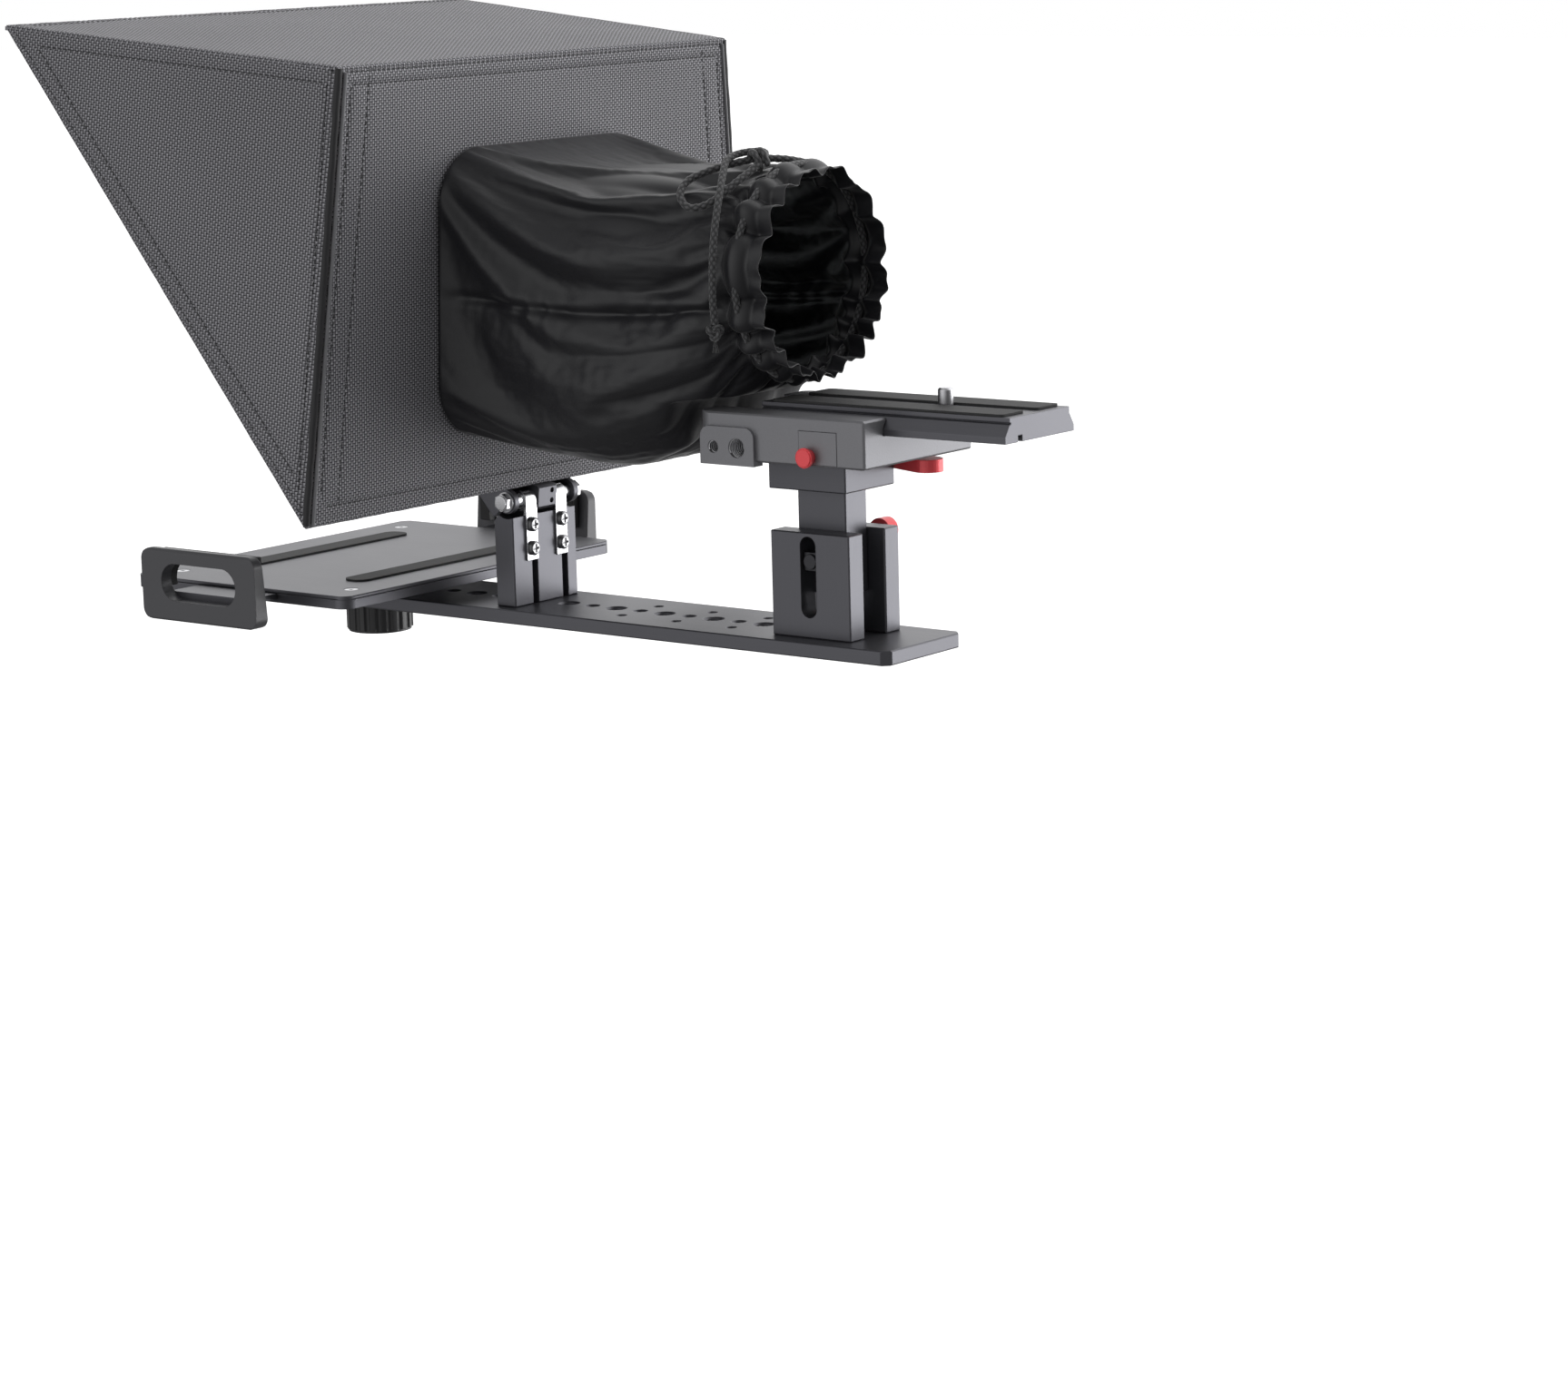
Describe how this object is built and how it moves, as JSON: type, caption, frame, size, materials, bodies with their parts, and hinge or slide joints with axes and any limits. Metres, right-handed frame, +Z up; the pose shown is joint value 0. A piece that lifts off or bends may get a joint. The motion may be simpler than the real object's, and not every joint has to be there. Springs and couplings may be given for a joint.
{
  "type": "tablet teleprompter",
  "caption": "Camera-mounted tablet teleprompter: tripod rail, height-adjustable camera clamp, tilting fabric hood with beam-splitter glass and lens sleeve, and a sliding tray with clips.",
  "frame": {"origin": "centre of the middle 3/8 in tripod socket, on the underside of the base plate", "axes": "+Z up, +Y along the base plate from the camera towards the speaker, +X to the operator's right"},
  "size_m": [0.2876, 0.4181, 0.2696],
  "materials": {
    "anodised_black": "fine-brushed dark grey anodised",
    "cast_grey": "fine cast texture, dark grey powder coat",
    "steel": "plain machined steel",
    "bright_steel": "polished",
    "red_anodised": "satin red",
    "grey_plastic": "satin dark grey",
    "black_plastic": "satin black",
    "hood_nylon": "coarse basket-weave nylon",
    "sleeve_nylon": "smooth black satin nylon",
    "black_cord": "braided cord",
    "rubber": "matt",
    "beam_splitter": "half-mirror coated"
  },
  "bodies": {
    "base": {"base_plate": "anodised_black", "riser_jaw_left": "anodised_black", "riser_jaw_right": "anodised_black", "riser_screws": "steel", "hinge_column": "anodised_black", "column_screws": "steel", "hinge_strap_left": "bright_steel", "hinge_strap_right": "bright_steel", "strap_screws": "bright_steel"},
    "riser": {"riser_block": "anodised_black", "block_screws": "steel", "riser_top_plate": "anodised_black", "clamp_body": "cast_grey", "clamp_screws": "steel", "button_plate": "cast_grey", "button_spring": "steel", "clamp_lever_screw": "steel", "lock_nut": "steel"},
    "lock": {"lock_screw": "steel", "lock_lever": "red_anodised"},
    "button": {"release_button": "red_anodised"},
    "lever": {"clamp_lever": "red_anodised"},
    "gib": {"clamp_gib": "cast_grey"},
    "camera_plate": {"quick_release_plate": "anodised_black", "plate_pads": "rubber"},
    "camera_stud": {"camera_screw": "steel"},
    "stud_ring": {"camera_screw_ring": "steel"},
    "head": {"hinge_shaft": "bright_steel", "hinge_nuts": "bright_steel", "hinge_washers": "steel", "glass_bracket": "anodised_black", "bracket_screws": "steel", "frame_bottom_rail": "black_plastic", "frame_top_rail": "black_plastic", "frame_left_rail": "black_plastic", "frame_right_rail": "black_plastic", "beam_splitter_glass": "beam_splitter", "hood_top": "hood_nylon", "hood_left": "hood_nylon", "hood_right": "hood_nylon", "hood_back": "hood_nylon", "camera_sleeve": "sleeve_nylon", "drawstring": "black_cord", "drawstring_tail": "black_cord", "drawstring_knot": "black_cord"},
    "tray": {"tray_base": "anodised_black", "tray_cover": "anodised_black", "tray_screws": "steel", "tray_stud": "steel", "tray_pads": "rubber"},
    "knob": {"tray_knob": "black_plastic", "knob_insert": "steel", "knob_washer": "steel"},
    "clip_left": {"left_arm": "anodised_black", "left_clip": "grey_plastic", "left_clip_pad": "rubber"},
    "clip_right": {"right_arm": "anodised_black", "right_clip": "grey_plastic", "right_clip_pad": "rubber"}
  },
  "joints": [
    {"name": "riser_height", "type": "slide", "parent": "base", "child": "riser", "axis": [0, 0, 1], "range_m": [-0.016, 0.002]},
    {"name": "lock_lever_turn", "type": "hinge", "parent": "riser", "child": "lock", "pos_m": [0, -0.0889, 0.037], "axis": [1, 0, 0], "range_deg": [0, 95]},
    {"name": "button_press", "type": "slide", "parent": "riser", "child": "button", "axis": [1, 0, 0], "range_m": [0, 0.0018], "stiffness_N_per_m": 300, "springref_m": -0.003},
    {"name": "clamp_lever_turn", "type": "hinge", "parent": "riser", "child": "lever", "pos_m": [0.03, -0.092, 0.077], "axis": [0, 0, 1], "range_deg": [0, 75]},
    {"name": "gib_slide", "type": "slide", "parent": "riser", "child": "gib", "axis": [1, 0, 0], "range_m": [0, 0.0012]},
    {"name": "camera_plate_slide", "type": "slide", "parent": "riser", "child": "camera_plate", "axis": [0, 1, 0], "range_m": [-0.025, 0.006]},
    {"name": "camera_screw_turn", "type": "hinge", "parent": "camera_plate", "child": "camera_stud", "pos_m": [0, -0.146, 0.095], "axis": [0, 0, 1], "continuous": true},
    {"name": "screw_ring_fold", "type": "hinge", "parent": "camera_stud", "child": "stud_ring", "pos_m": [0, -0.146, 0.0927], "axis": [0, 1, 0], "range_deg": [0, 90]},
    {"name": "head_tilt", "type": "hinge", "parent": "base", "child": "head", "pos_m": [0, 0.0676, 0.051], "axis": [1, 0, 0], "range_deg": [-5.6, 0.5]},
    {"name": "tray_slide", "type": "slide", "parent": "base", "child": "tray", "axis": [0, 1, 0], "range_m": [-0.01, 0.01]},
    {"name": "tray_knob_turn", "type": "hinge", "parent": "tray", "child": "knob", "pos_m": [0, 0.1626, -0.005], "axis": [0, 0, 1], "continuous": true},
    {"name": "left_clip_slide", "type": "slide", "parent": "tray", "child": "clip_left", "axis": [-1, 0, 0], "range_m": [-0.011, 0.025]},
    {"name": "right_clip_slide", "type": "slide", "parent": "tray", "child": "clip_right", "axis": [1, 0, 0], "range_m": [-0.011, 0.025]}
  ],
  "couplings": [
    {"joint": "gib_slide", "follows": "clamp_lever_turn", "m_per_rad": 0.0009076}
  ]
}
